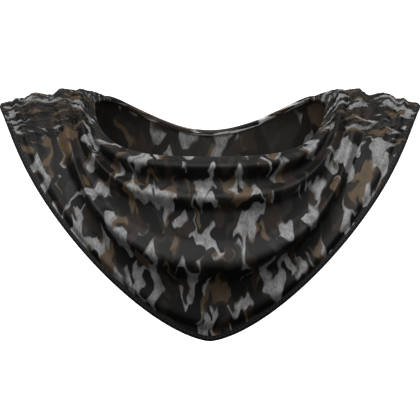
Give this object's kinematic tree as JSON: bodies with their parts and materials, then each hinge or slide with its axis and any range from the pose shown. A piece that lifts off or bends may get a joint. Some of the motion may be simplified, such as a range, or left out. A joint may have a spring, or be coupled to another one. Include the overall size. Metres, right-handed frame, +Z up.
{
  "type": "neck gaiter",
  "caption": "Soft neck gaiter in its worn shape: double-layer printed fabric, draped folds to a point in front, shoulders gathered on elastic, bound edges.",
  "frame": {"origin": "on the axis of the wearer's neck, at the height where the inner shoulders carry the gaiter (mount neck)", "axes": "+Z up the neck, -Y towards the point in front, +X to the right of someone facing the wearer"},
  "size_m": [0.3206, 0.199, 0.1764],
  "materials": {
    "printed_shell": "smooth knitted polyester, printed with a dark woodland camouflage, slight satin sheen",
    "printed_lining": "the same printed knit, in the shade inside",
    "black_binding": "folded black binding tape",
    "printed_binding": "folded strip of the printed knit, in its brown and grey",
    "elastic": "braided elastic tape, covered",
    "thread": "dark grey polyester thread"
  },
  "bodies": {
    "root": {"front_shell": "printed_shell", "front_lining": "printed_lining", "back_shell": "printed_shell", "back_lining": "printed_lining", "front_hem_binding": "black_binding", "back_hem_binding": "black_binding", "back_neck_binding": "printed_binding", "left_neck_elastic": "elastic", "left_inner_elastic": "elastic", "left_outer_elastic": "elastic", "left_hem_elastic": "elastic", "right_neck_elastic": "elastic", "right_inner_elastic": "elastic", "right_outer_elastic": "elastic", "right_hem_elastic": "elastic", "left_neck_elastic_stitching": "thread", "left_inner_elastic_stitching": "thread", "left_outer_elastic_stitching": "thread", "left_hem_elastic_stitching": "thread", "right_neck_elastic_stitching": "thread", "right_inner_elastic_stitching": "thread", "right_outer_elastic_stitching": "thread", "right_hem_elastic_stitching": "thread", "front_hem_stitching": "thread", "back_hem_stitching": "thread", "back_neck_stitching": "thread", "left_back_seam_stitching": "thread", "right_back_seam_stitching": "thread"}
  },
  "joints": []
}
